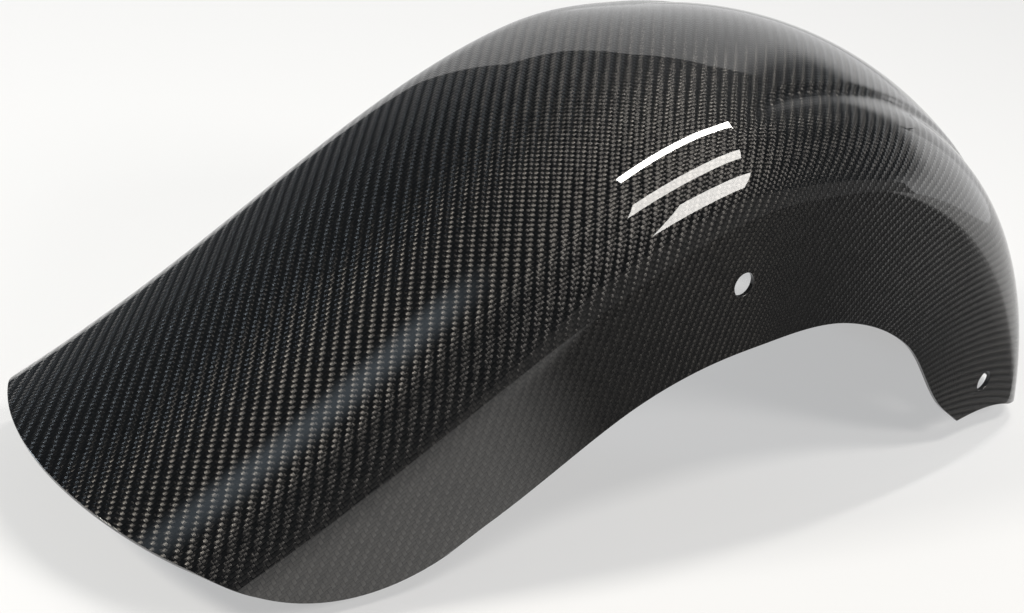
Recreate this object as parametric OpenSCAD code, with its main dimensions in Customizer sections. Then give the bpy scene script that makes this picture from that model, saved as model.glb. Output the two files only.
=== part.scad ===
// Motorcycle rear fender: one moulded shell of clear-coated twill cloth.
// The crown line is drawn first, as a smoothly bending curve from the tail to the front toe.
// A cross-section is then carried along it: crown, step, ledge, shoulder and side wall.
// The part stands on the ground as it would when put down: tail corners at the back, toe at the front.
// X runs from the tail to the front, Y across, Z up.

/* [Crown line] */
// Length of the crown line from the tail edge to the front toe
crown_len = 1027; // [980:1:1060]
// Length over which the crown turns by the degrees of each bend below
bend_span = 100; // [95:1:105]
// Bend of the crown at the tail edge, in degrees over the bend span (negative kicks up)
tail_bend = -9.3; // [-12:0.1:-6]
// Bend of the crown in the flare
flare_bend = -4.6; // [-7:0.1:-2]
// Bend of the crown where it rises out of the flare
rise_bend = 7.2; // [5:0.1:9]
// Bend of the crown before its highest point
crest_bend = 18.2; // [16:0.1:20]
// Bend of the crown past its highest point
saddle_bend = 16.3; // [14:0.1:18]
// Bend of the crown where it starts down
drop_bend = 15; // [13:0.1:17]
// Bend of the crown along the front leg
leg_bend = 13.4; // [11:0.1:15]
// Bend of the crown at the toe
toe_bend = 12; // [10:0.1:14]

/* [Cross-section] */
// Half of the width over the side walls at the tail
tail_half_w = 116; // [108:0.5:124]
// Half of the width over the side walls at mid length
mid_half_w = 125; // [116:0.5:134]
// Half of the width over the side walls at the toe
toe_half_w = 126; // [118:0.5:134]
// Slope of the crown's edge at the tail, in degrees
tail_crown_slope = 20.5; // [16:0.5:25]
// Slope of the crown's edge at mid length, in degrees
mid_crown_slope = 18.5; // [15:0.5:23]
// Slope of the crown's edge at the toe, in degrees
toe_crown_slope = 25; // [20:0.5:30]
// Radius of the shoulder at the tail
tail_shoulder_r = 32; // [26:0.5:38]
// Radius of the shoulder at mid length
mid_shoulder_r = 55; // [45:0.5:60]
// Radius of the shoulder at the toe
toe_shoulder_r = 30; // [24:0.5:36]
// Slope of the side walls, in degrees: 90 is square to the ground, less lets the shell leave its mould
wall_slope = 85; // [82:0.5:88]
// Thickness of the laminate
wall_t = 3; // [2:0.1:4]

/* [Step along the shoulder] */
// How much steeper than the crown's edge the step is, in degrees
step_rise = 20; // [10:0.5:30]
// How much flatter than the crown's edge the ledge below the step is, in degrees
ledge_drop = 7; // [2:0.5:11]
// Width of the flat ledge below the step
ledge_w = 7; // [3:0.5:11]
// Radius of the step's two bends
step_r = 16; // [10:0.5:20]
// Distance along the crown from the tail to where the step begins
step_start = 290; // [250:5:330]
// Distance along the crown over which the step grows to its full height
step_run = 150; // [100:5:200]

/* [Side walls] */
// Depth of the side walls below the crown in the flare
flare_depth = 117; // [108:0.5:126]
// Depth of the side walls where the crown rises
rise_depth = 130.5; // [122:0.5:140]
// Depth of the side walls before the highest point
crest_depth = 149.5; // [140:0.5:158]
// Depth of the side walls past the highest point
saddle_depth = 150; // [141:0.5:159]
// Depth of the side walls where the crown starts down
drop_depth = 148; // [139:0.5:157]
// Depth of the side walls along the front leg
leg_depth = 144; // [135:0.5:152]
// Depth of the side walls at the toe
toe_depth = 93; // [84:0.5:102]
// Depth that the lower edge heads for at the tail, behind the rounded corner
tail_depth = 67; // [58:0.5:76]

/* [Ends] */
// Length over which the tail edge sweeps forward into the lower edge
tail_sweep = 104; // [90:1:118]
// Fullness of the tail edge's curve: 2 is an ellipse
tail_fullness = 2.28; // [2:0.02:2.6]
// How far the toe is cut back at the lower edge
toe_rake = 86; // [70:1:100]

/* [Mounting holes] */
// Diameter of the mounting holes
hole_d = 16; // [10:0.5:20]
// Distance along the crown to the strut holes
strut_hole_s = 414; // [395:1:430]
// Depth of the strut holes below the crown
strut_hole_depth = 97; // [90:0.5:104]
// Distance along the crown to the toe holes
toe_hole_s = 921; // [905:1:930]
// Depth of the toe holes below the crown
toe_hole_depth = 91; // [85:0.5:97]

/* [Hidden] */

// Counts that set how finely the shell is drawn
columns = 60;
crown_steps = 600;
hole_facets = 48;
// Shares of the half section, centre to wall, at which the shell is drawn: closer over the step
crown_shares = [0, 0.13, 0.26, 0.38, 0.48, 0.53, 0.57, 0.61, 0.65, 0.69, 0.73, 0.77, 0.81, 0.86, 0.92, 1];
// Shares of the side wall, from the shoulder down to the lower edge
wall_shares = [0.2, 0.42, 0.64, 0.84, 1];
half_rows = len(crown_shares) + len(wall_shares);
rows = 2 * half_rows - 1;

// Values given at eight even stations, tail to toe
bends = [tail_bend, flare_bend, rise_bend, crest_bend, saddle_bend, drop_bend, leg_bend, toe_bend];
depths = [tail_depth, flare_depth, rise_depth, crest_depth, saddle_depth, drop_depth, leg_depth, toe_depth];
spans = len(bends) - 1;

// A smooth curve through the values of a list at even stations, u runs from 0 to 1
function at(list, i) = list[min(max(i, 0), len(list) - 1)];
function smooth(list, u) = let(
    p = min(max(u, 0), 1) * (len(list) - 1),
    i = min(floor(p), len(list) - 2),
    t = p - i, a = at(list, i - 1), b = at(list, i), c = at(list, i + 1), d = at(list, i + 2)
) (2*b + (c - a)*t + (2*a - 5*b + 4*c - d)*t*t + (3*b - a - 3*c + d)*t*t*t) / 2;

// A parabola through the values at the tail, at mid length and at the toe
function blend(tail, mid, toe, u) = tail*(1 - u)*(1 - 2*u) + mid*4*u*(1 - u) + toe*u*(2*u - 1);

// The crown line: heading, x and z, summed from the bend in short steps, starting level at the tail
step = crown_len / crown_steps;
bend_table = [for (i = [0 : spans]) [i*crown_len/spans, bends[i]]];
heading = [for (i = 0, a = 0; i <= crown_steps;
    a = a - lookup((i + 0.5)*step, bend_table)*step/bend_span, i = i + 1) a];
crown_x = [for (i = 0, x = 0; i <= crown_steps; x = x + step*cos((heading[i] + at(heading, i + 1))/2), i = i + 1) x];
crown_z = [for (i = 0, z = 0; i <= crown_steps; z = z + step*sin((heading[i] + at(heading, i + 1))/2), i = i + 1) z];
function along(list, s) = let(
    p = min(max(s / step, 0), crown_steps),
    i = min(floor(p), crown_steps - 1)
) list[i] + (list[i + 1] - list[i])*(p - i);

// Length of a bend of radius r through an angle
function arc(r, angle) = r*angle*PI/180;

// How far the step has grown at s: 0 before it starts, 1 at its full height
function step_share(s) = let(t = min(max((s - step_start)/step_run, 0), 1)) t*t*(3 - 2*t);

// The half section at s as tangent stretches: [length, slope at its start, slope at its end]
function stretches(s) = let(
    u = s / crown_len,
    w = blend(tail_half_w, mid_half_w, toe_half_w, u),
    edge = blend(tail_crown_slope, mid_crown_slope, toe_crown_slope, u),
    shoulder_r = blend(tail_shoulder_r, mid_shoulder_r, toe_shoulder_r, u),
    grown = step_share(s),
    steep = edge + grown*step_rise,
    ledge = edge - grown*ledge_drop,
    below = step_r*(2*sin(steep) - sin(edge) - sin(ledge)) + grown*ledge_w*cos(ledge)
        + shoulder_r*(sin(wall_slope) - sin(ledge)),
    crown_r = (w - below)/sin(edge)
) [
    [arc(crown_r, edge), 0, edge],
    [arc(step_r, steep - edge), edge, steep],
    [arc(step_r, steep - ledge), steep, ledge],
    [grown*ledge_w, ledge, ledge],
    [arc(shoulder_r, wall_slope - ledge), ledge, wall_slope]
];
function total(list, i = 0) = i == len(list) ? 0 : list[i][0] + total(list, i + 1);

// Move along one stretch by d: returns [across, up, slope]
function go(p, stretch, d) = let(
    a0 = stretch[1],
    a1 = stretch[0] > 0 ? a0 + (stretch[2] - a0)*d/stretch[0] : a0
) abs(a1 - a0) < 0.001 ? [p[0] + d*cos(a0), p[1] - d*sin(a0), a0] : let(
    r = d/((a1 - a0)*PI/180)
) [p[0] + r*(sin(a1) - sin(a0)), p[1] + r*(cos(a1) - cos(a0)), a1];

// Walk a distance t from the centre over the stretches and on down the straight wall
function walk(list, t, i = 0, p = [0, 0, 0]) =
    i == len(list) ? go(p, [0, wall_slope, wall_slope], t)
    : t <= list[i][0] ? go(p, list[i], t)
    : walk(list, t - list[i][0], i + 1, go(p, list[i], list[i][0]));

// Distance over the section from the centre to the lower edge, ahead of the tail's rounded end
function edge_t(s) = let(
    ahead = max(s, tail_sweep),
    list = stretches(ahead),
    wall = total(list),
    top = walk(list, wall)
) wall + (smooth(depths, ahead/crown_len) + top[1])/sin(wall_slope);

// Distance from the centre that row j has at s
function row_t(j, s) = let(wall = total(stretches(s)))
    j < len(crown_shares) ? wall*crown_shares[j]
    : wall + (edge_t(s) - wall)*wall_shares[j - len(crown_shares)];

// Where row j starts at the swept tail edge and ends at the raked toe
tail_t = edge_t(tail_sweep);
function row_start(j) = let(share = min(row_t(j, tail_sweep)/tail_t, 1))
    tail_sweep*(1 - sqrt(max(1 - pow(share, tail_fullness), 0)));
function row_end(j) = let(
    s = crown_len - toe_rake,
    p = walk(stretches(s), row_t(j, s))
) crown_len + toe_rake*p[1]/smooth(depths, s/crown_len);

// A point of the shell at s, t along the section, and a depth into the laminate
function place(s, p, into) = let(
    h = along(heading, s),
    y = p[0] - into*sin(p[2]),
    n = p[1] - into*cos(p[2])
) [along(crown_x, s) - n*sin(h), y, along(crown_z, s) + n*cos(h)];
function shell_point(i, j, into) = let(
    from = row_start(j),
    s = from + (row_end(j) - from)*i/columns
) place(s, walk(stretches(s), row_t(j, s)), into);

// Turn in the XZ plane that brings the tail's lower edge and the toe to one level
function turned(p, a) = [p[0]*cos(a) - p[2]*sin(a), p[1], p[0]*sin(a) + p[2]*cos(a)];
function lowest(list, a, i = 0, best = 0) = i == len(list) ? list[best]
    : lowest(list, a, i + 1, turned(list[i], a)[2] < turned(list[best], a)[2] ? i : best);
function level(back, front, a, n) = n == 0 ? a : let(
    b = turned(lowest(back, a), a),
    f = turned(lowest(front, a), a)
) level(back, front, a - atan2(f[2] - b[2], f[0] - b[0]), n - 1);

// Half of the outer and of the inner face, column by column, as drawn before levelling
outer_half = [for (i = [0 : columns]) for (j = [0 : half_rows - 1]) shell_point(i, j, 0)];
inner_half = [for (i = [0 : columns]) for (j = [0 : half_rows - 1]) shell_point(i, j, wall_t)];
back_edge = concat(
    [for (j = [0 : half_rows - 1]) inner_half[j]],
    [for (i = [0 : floor(columns/2)]) inner_half[i*half_rows + half_rows - 1]]
);
front_edge = [for (j = [0 : half_rows - 1]) inner_half[columns*half_rows + j]];
stand_turn = level(back_edge, front_edge, 0, 6);

// The standing part: lowest level at zero, middle of its length over the origin
outer_turned = [for (p = outer_half) turned(p, stand_turn)];
inner_turned = [for (p = inner_half) turned(p, stand_turn)];
all_x = [for (p = outer_turned) p[0]];
all_z = [for (p = concat(outer_turned, inner_turned)) p[2]];
shift = [-(min(all_x) + max(all_x))/2, 0, -min(all_z)];
function whole(list) = [for (i = [0 : columns]) each concat(
    [for (j = [half_rows - 1 : -1 : 1]) let(p = list[i*half_rows + j]) [p[0], -p[1], p[2]] + shift],
    [for (j = [0 : half_rows - 1]) list[i*half_rows + j] + shift]
)];

// Position of a hole centre on the outer face of the +Y wall
function wall_depth_t(s, depth) = let(list = stretches(s), wall = total(list))
    wall + (depth + walk(list, wall)[1])/sin(wall_slope);
function hole_centre(s, depth) =
    turned(place(s, walk(stretches(s), wall_depth_t(s, depth)), 0), stand_turn) + shift;

// The two faces of the laminate joined round all four edges into one closed shell
module shell() {
    face = (columns + 1)*rows;
    function outer_at(i, j) = i*rows + j;
    function inner_at(i, j) = face + i*rows + j;
    function quad(a, b, c, d) = [[a, b, c], [a, c, d]];
    skins = [for (i = [0 : columns - 1]) for (j = [0 : rows - 2]) each concat(
        quad(outer_at(i, j), outer_at(i, j + 1), outer_at(i + 1, j + 1), outer_at(i + 1, j)),
        quad(inner_at(i, j), inner_at(i + 1, j), inner_at(i + 1, j + 1), inner_at(i, j + 1))
    )];
    side_rims = [for (i = [0 : columns - 1]) each concat(
        quad(outer_at(i, 0), outer_at(i + 1, 0), inner_at(i + 1, 0), inner_at(i, 0)),
        quad(outer_at(i, rows - 1), inner_at(i, rows - 1), inner_at(i + 1, rows - 1), outer_at(i + 1, rows - 1))
    )];
    end_rims = [for (j = [0 : rows - 2]) each concat(
        quad(outer_at(0, j), inner_at(0, j), inner_at(0, j + 1), outer_at(0, j + 1)),
        quad(outer_at(columns, j), outer_at(columns, j + 1), inner_at(columns, j + 1), inner_at(columns, j))
    )];
    polyhedron(
        points = concat(whole(outer_turned), whole(inner_turned)),
        faces = concat(end_rims, side_rims, skins),
        convexity = 6
    );
}

// A pair of round holes straight across through both side walls
module hole_pair(s, depth) {
    c = hole_centre(s, depth);
    reach = 4*wall_t;
    for (side = [-1, 1])
        translate([c[0], side*c[1], c[2]])
            rotate([90, 0, 0])
                cylinder(d = hole_d, h = 2*reach, center = true, $fn = hole_facets);
}

module fender() {
    color([0.10, 0.10, 0.11])
        difference() {
            shell();
            hole_pair(strut_hole_s, strut_hole_depth);
            hole_pair(toe_hole_s, toe_hole_depth);
        }
}

fender();
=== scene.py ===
# %% [markdown]
# # A moulded rear fender in twill cloth under clear coat
#
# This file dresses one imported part, a motorcycle's rear fender, and sets it on a pale floor among lamps
# and cards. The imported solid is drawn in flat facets, because a polished curved shell would need far
# too many of them. Here the shape is drawn again from the same kind of sizes, smooth enough to mirror a
# lamp without a kink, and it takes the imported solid's place. Two forms follow the photograph more
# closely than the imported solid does, and their cells say so.

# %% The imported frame
import math

import bmesh
import bpy
import numpy as np
from mathutils import Euler, Matrix, Vector


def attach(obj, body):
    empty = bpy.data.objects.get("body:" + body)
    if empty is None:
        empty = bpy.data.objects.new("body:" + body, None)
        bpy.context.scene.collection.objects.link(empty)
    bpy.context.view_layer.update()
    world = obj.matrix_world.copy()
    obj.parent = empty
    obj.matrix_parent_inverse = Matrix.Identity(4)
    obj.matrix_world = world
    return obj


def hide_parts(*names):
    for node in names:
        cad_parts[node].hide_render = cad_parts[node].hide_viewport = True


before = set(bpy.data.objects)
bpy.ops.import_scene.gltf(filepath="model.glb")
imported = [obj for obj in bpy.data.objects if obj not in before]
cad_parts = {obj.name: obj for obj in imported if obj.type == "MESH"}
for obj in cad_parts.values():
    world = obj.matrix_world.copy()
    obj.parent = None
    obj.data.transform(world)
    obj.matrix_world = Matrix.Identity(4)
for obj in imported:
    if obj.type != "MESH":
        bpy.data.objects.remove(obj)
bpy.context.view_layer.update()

# %% [markdown]
# ## The crown line
#
# A fender is drawn as its maker sees it from the side: one smoothly bending line from the tail to the
# toe. The line is given by how much it bends at eight even stations, in degrees per 100 mm. Summing
# the bend gives the heading, and summing the heading gives the line. A spline through points would
# look alike, but its bend would wander, and a mirror finish shows every change of bend.

# %% The crown line
CROWN_LEN = 1027.0
BENDS = [-9.3, -4.6, 7.2, 18.2, 16.3, 15.0, 13.4, 12.0]
STEPS = 600

step = CROWN_LEN / STEPS
stations = np.linspace(0, CROWN_LEN, len(BENDS))
middles = (np.arange(STEPS) + 0.5) * step
line_s = np.arange(STEPS + 1) * step
heading = np.concatenate([[0], -np.cumsum(np.interp(middles, stations, BENDS) * step / 100)])
between = np.radians((heading[:-1] + heading[1:]) / 2)
line_x = np.concatenate([[0], np.cumsum(step * np.cos(between))])
line_z = np.concatenate([[0], np.cumsum(step * np.sin(between))])
print("heading at the tail and at the toe, degrees:", heading[0], round(heading[-1], 1))


def sin_d(angle):
    return math.sin(math.radians(angle))


def cos_d(angle):
    return math.cos(math.radians(angle))


# %% [markdown]
# ## The cross-section
#
# Across, the shell is a chain of tangent arcs: a nearly flat crown, a short steep step with a flat
# ledge under it, a round shoulder and a straight side wall. The step fades out behind the wheel, and
# it starts 130 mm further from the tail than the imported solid's. Each stretch is a length and the slope
# at both its ends, so walking a distance from the centre gives the place and the slope there, however
# the sizes are changed.

# %% The cross-section
HALF_WIDTHS = (116, 125, 126)
CROWN_SLOPES = (20.5, 18.5, 25)
SHOULDER_RADII = (32, 55, 30)
WALL_SLOPE = 85
STEP_RISE, LEDGE_DROP, LEDGE_WIDTH, STEP_RADIUS = 20, 7, 7, 16
STEP_START, STEP_RUN = 420, 100


def blend(three, u):
    """A parabola through the values at the tail, at mid length and at the toe."""
    tail, mid, toe = three
    return tail * (1 - u) * (1 - 2 * u) + mid * 4 * u * (1 - u) + toe * u * (2 * u - 1)


def stretches(s):
    """The half section at s, as tangent stretches: (length, slope at its start, slope at its end)."""
    u = s / CROWN_LEN
    edge, shoulder = blend(CROWN_SLOPES, u), blend(SHOULDER_RADII, u)
    t = min(max((s - STEP_START) / STEP_RUN, 0), 1)
    grown = t * t * (3 - 2 * t)
    steep, ledge = edge + grown * STEP_RISE, edge - grown * LEDGE_DROP
    below = STEP_RADIUS * (2 * sin_d(steep) - sin_d(edge) - sin_d(ledge))
    below += grown * LEDGE_WIDTH * cos_d(ledge) + shoulder * (sin_d(WALL_SLOPE) - sin_d(ledge))
    crown = (blend(HALF_WIDTHS, u) - below) / sin_d(edge)
    return [
        (crown * math.radians(edge), 0, edge),
        (STEP_RADIUS * math.radians(steep - edge), edge, steep),
        (STEP_RADIUS * math.radians(steep - ledge), steep, ledge),
        (grown * LEDGE_WIDTH, ledge, ledge),
        (shoulder * math.radians(WALL_SLOPE - ledge), ledge, WALL_SLOPE),
    ]


def go(place, stretch, d):
    """Moves along one stretch by d: (across, up, slope)."""
    across, up, _ = place
    length, start, end = stretch
    slope = start + (end - start) * d / length if length > 0 else start
    if abs(slope - start) < 0.001:
        return across + d * cos_d(start), up - d * sin_d(start), start
    r = d / math.radians(slope - start)
    return across + r * (sin_d(slope) - sin_d(start)), up + r * (cos_d(slope) - cos_d(start)), slope


def walk(section, t):
    """Walks t from the centre over the stretches and on down the straight wall."""
    place = (0.0, 0.0, 0.0)
    for stretch in section:
        if t <= stretch[0]:
            return go(place, stretch, t)
        place = go(place, stretch, stretch[0])
        t -= stretch[0]
    return go(place, (0, WALL_SLOPE, WALL_SLOPE), t)


def wall_top(section):
    """Distance from the centre to where the straight wall starts."""
    return sum(stretch[0] for stretch in section)


print("half section at mid length, mm:", [round(s[0], 1) for s in stretches(CROWN_LEN / 2)])

# %% [markdown]
# ## The outline of the cloth
#
# The side walls are cut to a depth that is also given at the eight stations. At the tail the edge
# sweeps forward in a full curve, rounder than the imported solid's, and at the toe it is cut back. Both
# ends are worked out for each thread of the sheet, so the threads start and stop on the real outline
# and nothing is trimmed away.

# %% Depths and ends
DEPTHS = [67, 117, 130.5, 149.5, 150, 148, 144, 93]
TAIL_SWEEP, TAIL_FULLNESS, TOE_RAKE = 165, 1.95, 86


def smooth(values, u):
    """A smooth curve through even stations, u runs from 0 to 1."""
    p = min(max(u, 0), 1) * (len(values) - 1)
    i = min(int(p), len(values) - 2)
    t = p - i
    a, b, c, d = (values[min(max(k, 0), len(values) - 1)] for k in (i - 1, i, i + 1, i + 2))
    return (2 * b + (c - a) * t + (2 * a - 5 * b + 4 * c - d) * t * t + (3 * b - a - 3 * c + d) * t**3) / 2


def edge_t(s):
    """Distance over the section from the centre to the lower edge, ahead of the tail's sweep."""
    ahead = max(s, TAIL_SWEEP)
    section = stretches(ahead)
    top = wall_top(section)
    return top + (smooth(DEPTHS, ahead / CROWN_LEN) + walk(section, top)[1]) / sin_d(WALL_SLOPE)


TAIL_T = edge_t(TAIL_SWEEP)


def row_start(t_tail):
    """Where a row starts whose distance from the centre is t_tail at the end of the sweep."""
    share = min(t_tail / TAIL_T, 1)
    return TAIL_SWEEP * (1 - math.sqrt(max(1 - share**TAIL_FULLNESS, 0)))


def row_end(row):
    """Where a row stops at the raked toe."""
    s = CROWN_LEN - TOE_RAKE
    return CROWN_LEN + TOE_RAKE * walk(stretches(s), row_t(row, s))[1] / smooth(DEPTHS, s / CROWN_LEN)


def row_t(row, s):
    """Distance from the centre at s of a row: 0 to 1 over crown and shoulder, 1 to 2 down the wall."""
    top = wall_top(stretches(s))
    return top * row if row <= 1 else top + (edge_t(s) - top) * (row - 1)


print("lower edge from the centre, mm:", [round(edge_t(s)) for s in range(200, 1028, 200)])

# %% [markdown]
# ## Standing on the floor
#
# The imported frame has the part standing as it would when put down: on the corners of the tail and on
# the toe, with the middle of its length over the origin. The turn that levels it and the shift that
# follows are the imported part's own.

# %% Placing a point of the shell
STAND_TURN = 26.1029
STAND_SHIFT = (-413.632, 0.0, 45.9907)


def shell_point(s, t, into=0.0):
    """The point at s along, t across (positive on the left) and so deep in the laminate, in metres."""
    across, up, slope = walk(stretches(s), abs(t))
    across, up = across - into * sin_d(slope), up - into * cos_d(slope)
    h = np.interp(s, line_s, heading)
    x = np.interp(s, line_s, line_x) - up * sin_d(h)
    z = np.interp(s, line_s, line_z) + up * cos_d(h)
    c, d = cos_d(STAND_TURN), sin_d(STAND_TURN)
    return Vector((
        (x * c - z * d + STAND_SHIFT[0]) / 1000,
        math.copysign(across, t) / 1000,
        (x * d + z * c + STAND_SHIFT[2]) / 1000,
    ))


for name, s in {"tail": 0, "top": 560, "toe": CROWN_LEN}.items():
    print(name, "of the crown, m:", [round(c, 3) for c in shell_point(s, 0)])

# %% [markdown]
# ## The flat sheet
#
# Real cloth starts flat, is cut, and is then laid into the mould. The mesh does the same. A grid is
# made flat, with X along the crown line and Y across, in millimetres. Its rows are closer together
# over the step, where the section turns fastest, and near the lower edge, where the tail's corner is
# rounded. The flat place of each corner becomes the sheet's UV map, which the weave follows later.

# %% The flat sheet
COLUMNS, HALF_ROWS = 208, 98
CROWN_SHARE = 0.74
CROWN_PACE = (1.55, -0.9, 0.35)
WALL_PACE = (1.35, -0.35)


def row_value(k):
    """The row numbered k out of HALF_ROWS: evenly over the crown, closer over step and corner."""
    q = k / HALF_ROWS
    if q > CROWN_SHARE:
        p = (q - CROWN_SHARE) / (1 - CROWN_SHARE)
        return 1 + WALL_PACE[0] * p + WALL_PACE[1] * p * p
    p = q / CROWN_SHARE
    return CROWN_PACE[0] * p + CROWN_PACE[1] * p * p + CROWN_PACE[2] * p**3


rows = [row_value(k) for k in range(HALF_ROWS + 1)]
starts = [row_start(row_t(r, TAIL_SWEEP)) for r in rows]
ends = [row_end(r) for r in rows]

sheet = bmesh.new()
bmesh.ops.create_grid(sheet, x_segments=COLUMNS, y_segments=2 * HALF_ROWS, size=1)
for v in sheet.verts:
    column = round((v.co.x + 1) / 2 * COLUMNS)
    row = round(v.co.y * HALF_ROWS)
    k = abs(row)
    s = starts[k] + (ends[k] - starts[k]) * column / COLUMNS
    v.co = (s, math.copysign(row_t(rows[k], s), row) if row else 0.0, 0)
print("flat sheet:", len(sheet.verts), "corners,", len(sheet.faces), "faces")

# %% [markdown]
# ## The mounting holes
#
# Each side wall has two round holes that are drilled square to the part's length, not to the wall. On
# the flat sheet such a hole is a little oval. A patch of the grid is joined into one face, that face is
# inset, and the corners of the inset are carried to a ring that is round on the finished wall. Every
# corner of the ring then has its own corner on the patch, so nothing is twisted, and no boolean leaves
# slivers that a polished face would show.

# %% Cutting the holes
HOLE_RADIUS = 8.0
HOLES = {"strut": (414, 97), "toe": (921, 91)}
PATCH_REACH = 1.55 * HOLE_RADIUS
RIM = 1.0
SETTLING_ROUNDS = 30


def flat_place(x, depth, s):
    """Carries a point of the side wall, x ahead of station s and so deep, back to the flat sheet."""
    h0, cx, cz = (float(np.interp(s, line_s, l)) for l in (heading, line_x, line_z))
    px, pz = cx + x * cos_d(h0) + depth * sin_d(h0), cz + x * sin_d(h0) - depth * cos_d(h0)
    for _ in range(SETTLING_ROUNDS):
        h, cx, cz = (float(np.interp(s, line_s, l)) for l in (heading, line_x, line_z))
        s += (px - cx) * cos_d(h) + (pz - cz) * sin_d(h)
    up = -(px - cx) * sin_d(h) + (pz - cz) * cos_d(h)
    section = stretches(s)
    top = wall_top(section)
    return s, top + (walk(section, top)[1] - up) / sin_d(WALL_SLOPE)


def cut_hole(s, depth, side):
    """Opens a round hole in the sheet and gives the number of corners of its ring."""
    middle = Vector((*flat_place(0, depth, s), 0))
    patch = [f for f in sheet.faces
             if abs(f.calc_center_median().x - middle.x) < PATCH_REACH
             and abs(side * f.calc_center_median().y - middle.y) < PATCH_REACH]
    joined = bmesh.ops.dissolve_faces(sheet, faces=patch)["region"][0]
    bmesh.ops.inset_individual(sheet, faces=[joined], thickness=RIM)
    ring = sorted(joined.verts, key=lambda v: math.atan2(side * v.co.y - middle.y, v.co.x - middle.x))
    turns = [math.atan2(side * v.co.y - middle.y, v.co.x - middle.x) for v in ring]
    lead = sum(a - 2 * math.pi * k / len(ring) for k, a in enumerate(turns)) / len(ring)
    for k, v in enumerate(ring):
        a = lead + 2 * math.pi * k / len(ring)
        p = flat_place(HOLE_RADIUS * math.cos(a), depth + HOLE_RADIUS * math.sin(a), s)
        v.co = (p[0], side * p[1], 0)
    bmesh.ops.delete(sheet, geom=[joined], context="FACES_ONLY")
    return len(ring)


for name, (s, depth) in HOLES.items():
    for side in (-1, 1):
        print(name, "hole, corners of the ring:", cut_hole(s, depth, side))

# %% [markdown]
# ## From sheet to laminate
#
# The sheet is extruded into a slab while it is still flat: its top is the outer face, its bottom the
# inner one, and the band between them the cut edge, each with its own finish. A Solidify modifier could
# thicken the formed shell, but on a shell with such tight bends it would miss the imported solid's edges.
# The flat place of each corner is kept as the UV map, in tens of millimetres.

# %% From sheet to slab
WALL = 3.0
MM_PER_UV = 10
OUTER, INNER, CUT = 0, 1, 2
slab = bmesh.ops.extrude_face_region(sheet, geom=sheet.faces[:])["geom"]
for v in (g for g in slab if isinstance(g, bmesh.types.BMVert)):
    v.co.z = WALL
bmesh.ops.recalc_face_normals(sheet, faces=sheet.faces)
uv = sheet.loops.layers.uv.new("cloth")
for face in sheet.faces:
    level = face.calc_center_median().z / WALL
    face.material_index = OUTER if level > 0.99 else INNER if level < 0.01 else CUT
    face.smooth = True
    for loop in face.loops:
        loop[uv].uv = (loop.vert.co.x / MM_PER_UV, loop.vert.co.y / MM_PER_UV)
for name, kind in {"outer": OUTER, "inner": INNER, "cut": CUT}.items():
    print(name, "faces of the slab:", sum(f.material_index == kind for f in sheet.faces))

# %% [markdown]
# ## Laying the cloth into the mould
#
# Each corner of the slab is moved to its place on the shell, the lower ones straight into the laminate.
# A small Bevel takes the sharpness off the cut edges and the holes, as sanding and coating do.

# %% From slab to shell
EDGE_ROUND = 0.0004

for v in sheet.verts:
    v.co = shell_point(v.co.x, v.co.y, WALL - v.co.z)
mesh = bpy.data.meshes.new("fender_shell")
sheet.to_mesh(mesh)
sheet.free()
shell = bpy.data.objects.new("fender_shell", mesh)
bpy.context.scene.collection.objects.link(shell)

edge = shell.modifiers.new("sanded edges", "BEVEL")
edge.limit_method = "ANGLE"
edge.angle_limit = math.radians(50)
edge.width = EDGE_ROUND
edge.segments = 3
edge.profile = 0.5
edge.use_clamp_overlap = False
edge.harden_normals = True

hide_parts("fender")
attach(shell, "root")
print("shell:", len(mesh.vertices), "corners,", len(mesh.polygons), "faces")

# %% [markdown]
# ## Writing shader maths as expressions
#
# A weave is worked out with sums, remainders and comparisons. Wired by hand that is a page of nodes
# that nobody can read, so one small class wraps a socket: an expression on two wires adds the Math
# node it needs. Every other node comes from one method, which takes the node's type, its settings and
# what goes into its sockets.

# %% A socket that can be used in expressions
class Wire:
    """One output socket of a shader tree."""

    def __init__(self, tree, socket):
        self.tree, self.socket = tree, socket

    @staticmethod
    def node(tree, kind, settings=None, sockets=None, out=0):
        """Adds a node: its settings first, then a value or a link for each named socket."""
        made = tree.nodes.new(kind)
        for name, value in (settings or {}).items():
            setattr(made, name, value)
        for name, value in (sockets or {}).items():
            if isinstance(value, Wire):
                tree.links.new(value.socket, made.inputs[name])
            else:
                made.inputs[name].default_value = value
        return Wire(tree, made.outputs[out] if made.outputs else None)

    def other(self, out):
        """Another output of the same node."""
        return Wire(self.tree, self.socket.node.outputs[out])

    def math(self, operation, *values):
        return Wire.node(self.tree, "ShaderNodeMath", {"operation": operation}, dict(enumerate(values)))

    def __add__(self, other):
        return self.math("ADD", self, other)

    def __sub__(self, other):
        return self.math("SUBTRACT", self, other)

    def __rsub__(self, other):
        return self.math("SUBTRACT", other, self)

    def __mul__(self, other):
        return self.math("MULTIPLY", self, other)

    def __mod__(self, other):
        return self.math("FLOORED_MODULO", self, other)

    def __gt__(self, other):
        return self.math("GREATER_THAN", self, other)

    def __abs__(self):
        return self.math("ABSOLUTE", self)

    def floor(self):
        return self.math("FLOOR", self)

    def ramp(self, low, high):
        """0 below low, 1 above high and a smooth step between them."""
        return Wire.node(
            self.tree, "ShaderNodeMapRange", {"interpolation_type": "SMOOTHSTEP"},
            {"Value": self, "From Min": low, "From Max": high},
        )

    def pick(self, zero, one):
        """zero where this is 0, one where it is 1."""
        return (1 - self) * zero + self * one

    def tint(self, zero, one):
        """A colour from zero to one."""
        return Wire.node(
            self.tree, "ShaderNodeMix", {"data_type": "RGBA"},
            {"Factor": self, "A": (*zero, 1), "B": (*one, 1)}, out=2,
        )

    __radd__ = __add__
    __rmul__ = __mul__


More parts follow.
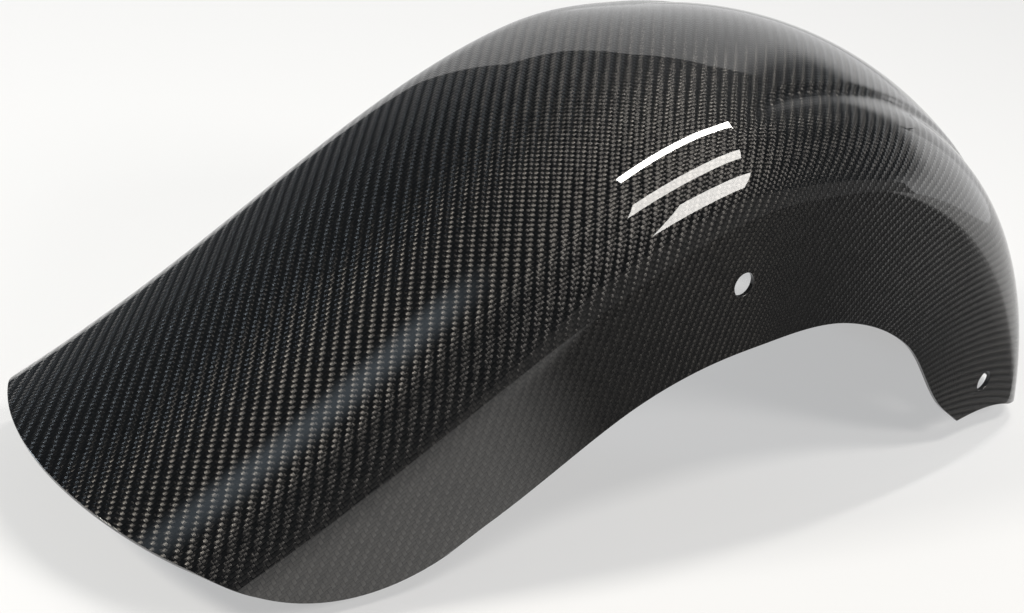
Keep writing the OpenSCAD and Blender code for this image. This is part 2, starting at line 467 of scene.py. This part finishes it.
def triple(tree, x, y, z):
    """Three values as one vector."""
    return Wire.node(tree, "ShaderNodeCombineXYZ", None, {0: x, 1: y, 2: z})


def new_material(name):
    """An empty material and its tree."""
    made = bpy.data.materials.new(name)
    made.use_nodes = True
    made.node_tree.nodes.clear()
    return made, made.node_tree


def finish_material(made, surface):
    """Sends a shader to the material's output and says how many nodes there are."""
    Wire.node(made.node_tree, "ShaderNodeOutputMaterial", None, {"Surface": surface})
    print("nodes in", made.name, len(made.node_tree.nodes))


# %% [markdown]
# ## The weave
#
# The cloth is a two by two twill: each tow passes over two crossing tows and under the next two, and
# each row starts one tow further on, which makes the diagonal lines. The flat sheet's map gives the
# tow numbers along and across. Their sum, counted in fours, says which of the two tows lies on top:
# the one along the fender for 0 and 1, the one across it for 2 and 3. An image of cloth would blur
# close by and stretch on the walls.

# %% The twill
TOW = 2.4
print("tows across the fender along its crown line:", round(CROWN_LEN / TOW))


def twill(tree):
    """Which tow is on top, the place along and beside it (-1 to 1), and a number kept over a float."""
    place = Wire.node(tree, "ShaderNodeUVMap", {"uv_map": "cloth"})
    split = Wire.node(tree, "ShaderNodeSeparateXYZ", None, {0: place})
    along = split * (MM_PER_UV / TOW)
    across = split.other(1) * (-MM_PER_UV / TOW)
    i, j = along.floor(), across.floor()
    turn = i + j
    count = turn % 4
    crosswise = count > 1.5
    run = crosswise.pick(along - i, across - j) + (count - crosswise * 2) - 1
    side = crosswise.pick(across - j, along - i) * 2 - 1
    label = triple(tree, (turn * 0.25).floor(), crosswise.pick(j, i), crosswise)
    chance = Wire.node(tree, "ShaderNodeTexWhiteNoise", {"noise_dimensions": "3D"}, {"Vector": label})
    return crosswise, run, side, chance


# %% [markdown]
# ## Fibres in clear resin
#
# A tow is thousands of straight fibres, so it shines like brushed metal: wide across them and narrow
# along them. The two directions of tow are two Principled shaders that differ only in the turn of that
# gloss, and the weave chooses between them. Each float is arched, so only the short part of it that
# leans the right way glints, which gives the dots of light that make the cloth look deep. No two floats
# lie quite alike, so each has its own brightness and lean. The clear coat above them keeps the smooth
# normal of the shell, because only the fibres' own normal is bent.

# %% The cloth under its resin
ARCH, ROUND, UPRIGHT = 0.22, 0.16, 0.98
LEAN_SPREAD = 0.04
DULLEST, BRIGHTEST = 0.65, 1.35
FILAMENT_CONTRAST, DIP_SHADE = 0.8, 0.8
LENGTHWISE_TURN, CROSSWISE_TURN = 0.25, 0.0


def woven(name, coat, coat_rough, rough, bright, dark):
    """A twill under resin: bright is the colour of the fibres, dark that of the gaps."""
    made, tree = new_material(name)
    crosswise, run, side, chance = twill(tree)
    filaments = Wire.node(
        tree, "ShaderNodeTexNoise", None,
        {"Vector": triple(tree, run * 0.5, side * 5, chance * 40), "Scale": 1.0, "Detail": 2.0},
    )
    lean_run = run * ARCH + (chance - 0.5) * LEAN_SPREAD
    lean_side = side * ROUND
    lean_u = crosswise.pick(lean_run, lean_side) * 0.5 + 0.5
    lean_v = crosswise.pick(lean_side, lean_run) * -0.5 + 0.5
    normal = Wire.node(
        tree, "ShaderNodeNormalMap", {"uv_map": "cloth"}, {"Color": triple(tree, lean_u, lean_v, UPRIGHT)},
    )
    gap = abs(side).ramp(0.7, 1.0)
    # Painted shade: the ends of each float, where it dips under the crossing tow, are darkened by
    # DIP_SHADE.
    dip = abs(run).ramp(0.75, 1.0)
    body = (1 - gap) * (1 - dip * DIP_SHADE) * (chance * (BRIGHTEST - DULLEST) + DULLEST)
    colour = (body * (filaments * FILAMENT_CONTRAST + (1 - FILAMENT_CONTRAST / 2))).tint(dark, bright)
    tangent = Wire.node(tree, "ShaderNodeTangent", {"direction_type": "UV_MAP", "uv_map": "cloth"})
    lit = []
    for turn in (LENGTHWISE_TURN, CROSSWISE_TURN):
        lit.append(Wire.node(tree, "ShaderNodeBsdfPrincipled", None, {
            "Base Color": colour, "Metallic": 1.0, "Roughness": rough, "Anisotropic": 1.0,
            "Anisotropic Rotation": turn, "Tangent": tangent, "Normal": normal,
            "Coat Weight": coat, "Coat Roughness": coat_rough, "Coat IOR": 1.5,
        }))
    both = Wire.node(tree, "ShaderNodeMixShader", None, {0: crosswise, 1: lit[0], 2: lit[1]})
    finish_material(made, both)
    return made


twill_coated = woven(
    "coated twill", coat=1.0, coat_rough=0.02, rough=0.35,
    bright=(0.042, 0.040, 0.038), dark=(0.002, 0.002, 0.003),
)
twill_bare = woven(
    "inner twill", coat=0.25, coat_rough=0.35, rough=0.55,
    bright=(0.12, 0.12, 0.12), dark=(0.01, 0.01, 0.01),
)

# %% [markdown]
# ## The cut edge
#
# The sawn and sanded edge shows the ends of the plies in dark resin, with no weave on it.

# %% The cut edge
cut_laminate, tree = new_material("cut laminate")
spread = Wire.node(tree, "ShaderNodeTexNoise", None, {"Scale": 900.0, "Detail": 3.0})
finish_material(cut_laminate, Wire.node(tree, "ShaderNodeBsdfPrincipled", None, {
    "Base Color": spread.tint((0.008, 0.008, 0.009), (0.04, 0.04, 0.042)), "Roughness": 0.35,
    "Coat Weight": 0.7, "Coat Roughness": 0.1,
}))
for finish in (twill_coated, twill_bare, cut_laminate):
    mesh.materials.append(finish)

# %% [markdown]
# ## The floor
#
# A pale floor fills the picture. It's part lit and part glowing towards the camera, so it comes out
# near white and still keeps the fender's shadow, and mirrors show it as bright as the camera does.

# %% The floor
FLOOR_HALF = 6.0
FLOOR_GREY, FLOOR_GLOW = 0.65, 0.45
WHITE = (1, 1, 1, 1)


def seen(tree):
    """1 for what the camera sees, straight or in a mirror, and 0 for light on its way to a surface."""
    path = Wire.node(tree, "ShaderNodeLightPath")
    return path + path.other("Is Glossy Ray") + path.other("Is Transmission Ray")


def stage_face(name, corners, surface):
    """One flat face of the set, from its corners in metres, with its own material."""
    flat = bmesh.new()
    bmesh.ops.contextual_create(flat, geom=[flat.verts.new(c) for c in corners])
    data = bpy.data.meshes.new(name)
    flat.to_mesh(data)
    flat.free()
    data.materials.append(surface)
    made = bpy.data.objects.new(name, data)
    bpy.context.scene.collection.objects.link(made)
    return made


def level_face(x_low, x_high, y_low, y_high, z):
    """The corners of a level rectangle at height z, one after another."""
    return [(x_low, y_low, z), (x_high, y_low, z), (x_high, y_high, z), (x_low, y_high, z)]


pale, tree = new_material("pale floor")
lit_floor = Wire.node(tree, "ShaderNodeBsdfPrincipled", None, {
    "Base Color": (FLOOR_GREY, FLOOR_GREY, FLOOR_GREY, 1), "Roughness": 0.6,
})
glow = Wire.node(tree, "ShaderNodeEmission", None, {"Color": WHITE, "Strength": 1.0})
finish_material(pale, Wire.node(
    tree, "ShaderNodeMixShader", None, {0: seen(tree) * FLOOR_GLOW, 1: lit_floor, 2: glow},
))
stage_face("floor", level_face(-FLOOR_HALF, FLOOR_HALF, -FLOOR_HALF, FLOOR_HALF, 0), pale)

# %% [markdown]
# ## The lamps
#
# The fender is black and polished, so it shows the room more than itself. Three lamps hang from the
# ceiling, nearly along the fender, and draw the three bright lines on the shoulder. Each was placed by
# following the line of sight off the shell to the height of the lamps.

# %% Three ceiling lamps
LAMP_HEIGHT = 2.2
AIM = Vector((0, 0, 0.15))


def shine(name, placed, length, width, radiance, colour):
    """An area lamp that doesn't show itself. It's as bright as radiance says, whatever its size."""
    data = bpy.data.lights.new(name, "AREA")
    data.shape = "RECTANGLE"
    data.size, data.size_y = length, width
    data.energy = radiance * math.pi * length * width
    data.color = colour
    made = bpy.data.objects.new(name, data)
    made.matrix_world = placed
    made.visible_camera = False
    bpy.context.scene.collection.objects.link(made)


def ceiling_lamp(name, start, end, width, radiance, colour):
    """A flat lamp from start to end, turned towards the object."""
    start, end = Vector((*start, LAMP_HEIGHT)), Vector((*end, LAMP_HEIGHT))
    middle, run = (start + end) / 2, (end - start)
    x = run.normalized()
    y = (middle - AIM).normalized().cross(x).normalized()
    turned = Matrix((x, y, x.cross(y))).transposed().to_4x4()
    shine(name, Matrix.Translation(middle) @ turned, run.length, width, radiance, colour)
    print(name, "metres long and wide:", round(run.length, 2), width)


ceiling_lamp("lamp_far", (-0.19, 0.19), (1.03, 0.31), width=0.055, radiance=85, colour=(1, 0.97, 0.92))
ceiling_lamp("lamp_middle", (-0.21, -0.78), (0.93, -0.82), width=0.36, radiance=17, colour=(1, 0.97, 0.92))
ceiling_lamp("lamp_near", (0.45, -2.34), (1.62, -2.46), width=0.72, radiance=17, colour=(1, 0.97, 0.93))

# %% [markdown]
# ## Glints in the cloth
#
# Two small lamps stand behind the tail, where the clear coat mirrors neither of them to the camera. The
# arched floats do: the crossing tows send the warm lamp back from the side of the tail's crown, and the
# cool one from its flat middle. That is why the weave shows there although the coat above it stays dark.

# %% Two lamps behind the tail
def side_lamp(name, place, size, radiance, colour):
    """A square lamp that faces the middle of the floor."""
    place = Vector(place)
    turned = place.to_track_quat("Z", "Y").to_matrix().to_4x4()
    shine(name, Matrix.Translation(place) @ turned, size, size, radiance, colour)
    print(name, "metres away:", round(place.length, 2))


side_lamp("lamp_behind_left", (-2.2, 0.5, 1.64), size=0.4, radiance=110, colour=(1, 0.96, 0.88))
side_lamp("window", (-1.62, 2.03, 0.85), size=0.5, radiance=25, colour=(0.72, 0.86, 1.0))

# %% [markdown]
# ## The standing cards
#
# White and grey cards stand around the fender, out of the camera's sight, for the sake of what they
# look like in the clear coat. A tall white one behind it lights the top of the arch, a bright one and a
# low one light the toe, and the top edge of a grey one beside it draws the line between the shoulder and
# the side wall. Where an edge should mirror softly, the card fades out there.

# %% The standing cards
def glowing(name, colour, strength, share=None):
    """A glowing material, or one that glows only as far as share says, from the place in the room."""
    made, tree = new_material(name)
    surface = Wire.node(tree, "ShaderNodeEmission", None, {"Color": colour, "Strength": strength})
    if share:
        spot = Wire.node(tree, "ShaderNodeTexCoord").other("Object")
        x = Wire.node(tree, "ShaderNodeSeparateXYZ", None, {0: spot})
        kept = share(x, x.other(1), x.other(2))
        clear = Wire.node(tree, "ShaderNodeBsdfTransparent")
        surface = Wire.node(tree, "ShaderNodeMixShader", None, {0: kept, 1: clear, 2: surface})
    finish_material(made, surface)
    return made


def hang_card(name, corners, surface, lights_floor):
    """A card that shows only in the fender, and lights the floor or leaves it alone."""
    made = stage_face(name, corners, surface)
    made.visible_camera = False
    made.visible_shadow = False
    made.visible_diffuse = lights_floor


def standing_card(name, distance, azimuth, outline, radiance, fade=None):
    """A card square to a direction. Its outline is given as (left, height), as seen from the fender."""
    c, d = cos_d(azimuth), sin_d(azimuth)
    share = (lambda x, y, z: fade(y * c - x * d, z)) if fade else None
    corners = [(distance * c - left * d, distance * d + left * c, height) for left, height in outline]
    hang_card(name, corners, glowing(name, WHITE, radiance, share), lights_floor=True)


def upper_right_faded(left, height):
    """1 over most of the card, and softly down to 0 in its upper right corner."""
    return 1 - (1 - left.ramp(-1.3, -0.7)) * height.ramp(0.9, 1.6)


def upper_part_faded(left, height):
    """1 at the foot of the card and softly down to 0 above, lower on the right."""
    return (1 - height.ramp(0.8, 1.25)) * (1 - (height - left * 0.6).ramp(1.0, 1.5))


BEHIND = [
    (1.4, 0.0), (1.4, 1.0), (1.25, 1.9), (0.86, 2.1), (0.36, 2.6),
    (-0.5, 2.8), (-1.4, 2.6), (-2.5, 2.25), (-2.0, 1.1), (-1.14, 0.14),
]
AT_TOE = [(0.30, 0.0), (0.30, 1.3), (-1.1, 1.3), (-1.8, 0.6), (-1.8, 0.0)]
BETWEEN = [(0.4, 0.0), (0.27, 0.1), (0.05, 0.4), (-0.41, 0.9), (-0.6, 1.0), (-0.6, 0.0)]
BESIDE = [(1.9, 0.0), (1.9, 0.30), (1.4, 0.48), (0.93, 0.66), (0.5, 0.85), (-0.35, 0.89), (-0.35, 0.0)]

standing_card("white card behind", distance=2.5, azimuth=48, outline=BEHIND, radiance=0.95,
              fade=upper_right_faded)
standing_card("bright card at the toe", distance=2.5, azimuth=0, outline=AT_TOE, radiance=1.4,
              fade=upper_part_faded)
standing_card("low card between", distance=2.6, azimuth=18, outline=BETWEEN, radiance=0.9)
standing_card("grey card beside", distance=2.0, azimuth=-75, outline=BESIDE, radiance=0.25)

# %% [markdown]
# ## The level cards
#
# A small cool card hangs above the tail with soft edges, like a patch of sky. The crown turns into the
# shoulder along a straight line there, so one patch makes a long gleam. A dark card lies on the floor on
# the near side: a painted shadow, seen only by the clear coat. It keeps the side wall dark, although the
# floor that the camera sees stays pale.

# %% The level cards
ABOVE_TAIL = (-1.5, -0.9, -0.2, 0.6)
NEAR_FLOOR = (-0.2, 4.0, -4.0, -0.14)
JUST_ABOVE_FLOOR = 0.002
SKY_BLUE = (0.75, 0.88, 1.0, 1)


def soft_patch(x, y, z):
    """1 in the middle of the patch above the tail and softly down to 0 all round."""
    return x.ramp(-1.5, -1.3) * (1 - x.ramp(-1.2, -0.9)) * y.ramp(0.0, 0.28) * (1 - y.ramp(0.28, 0.52))


def painted_shadow_share(x, y, z):
    """Painted shadow: 1 between two slanting lines on the floor, where the wall looks dark, and 0 past the
    ends.
    """
    return (x + y * 0.45).ramp(-0.22, -0.10) * (1 - (x + y * 1.2).ramp(0.24, 0.36))


sky = glowing("soft card above", SKY_BLUE, strength=1.3, share=soft_patch)
hang_card("soft card above", level_face(*ABOVE_TAIL, LAMP_HEIGHT), sky, lights_floor=False)
# Painted shadow on the floor: a dim sheet that only the clear coat sees, which darkens the side wall.
shade = glowing("painted floor shadow", WHITE, strength=0.11, share=painted_shadow_share)
hang_card("painted floor shadow", level_face(*NEAR_FLOOR, JUST_ABOVE_FLOOR), shade, lights_floor=False)

# %% [markdown]
# ## The room
#
# Everything that is neither lamp, card nor floor is a dim, slightly blue room. A bright one would veil
# the black cloth with a grey mirror image all over.

# %% The room
world = bpy.data.worlds.new("room")
bpy.context.scene.world = world
world.use_nodes = True
tree = world.node_tree
tree.nodes.clear()
dim = Wire.node(tree, "ShaderNodeBackground", None, {"Color": (0.80, 0.90, 1.0, 1), "Strength": 0.10})
Wire.node(tree, "ShaderNodeOutputWorld", None, {"Surface": dim})
print("nodes in the room", len(tree.nodes))

# %% [markdown]
# ## The camera
#
# The camera's place, turn and lens were solved from the photograph: from the ends, the outline and the
# holes of the fender as seen there. The turn is given as Blender shows it, in degrees about X, Y and Z.
# The middle one tilts the camera to the side.

# %% The camera
CAMERA_PLACE = (-0.92900, -0.76387, 0.65351)
CAMERA_TURN = (63.177, -13.887, -40.835)
SENSOR_WIDTH, LENS = 36, 69.41

camera_data = bpy.data.cameras.new("camera")
camera_data.sensor_width = SENSOR_WIDTH
camera_data.lens = LENS
camera = bpy.data.objects.new("camera", camera_data)
turned = Euler([math.radians(a) for a in CAMERA_TURN]).to_matrix().to_4x4()
camera.matrix_world = Matrix.Translation(CAMERA_PLACE) @ turned
bpy.context.scene.collection.objects.link(camera)
bpy.context.scene.camera = camera
bpy.context.scene.view_settings.view_transform = "Standard"
print("camera, metres from the middle of the floor:", round(camera.matrix_world.translation.length, 2))
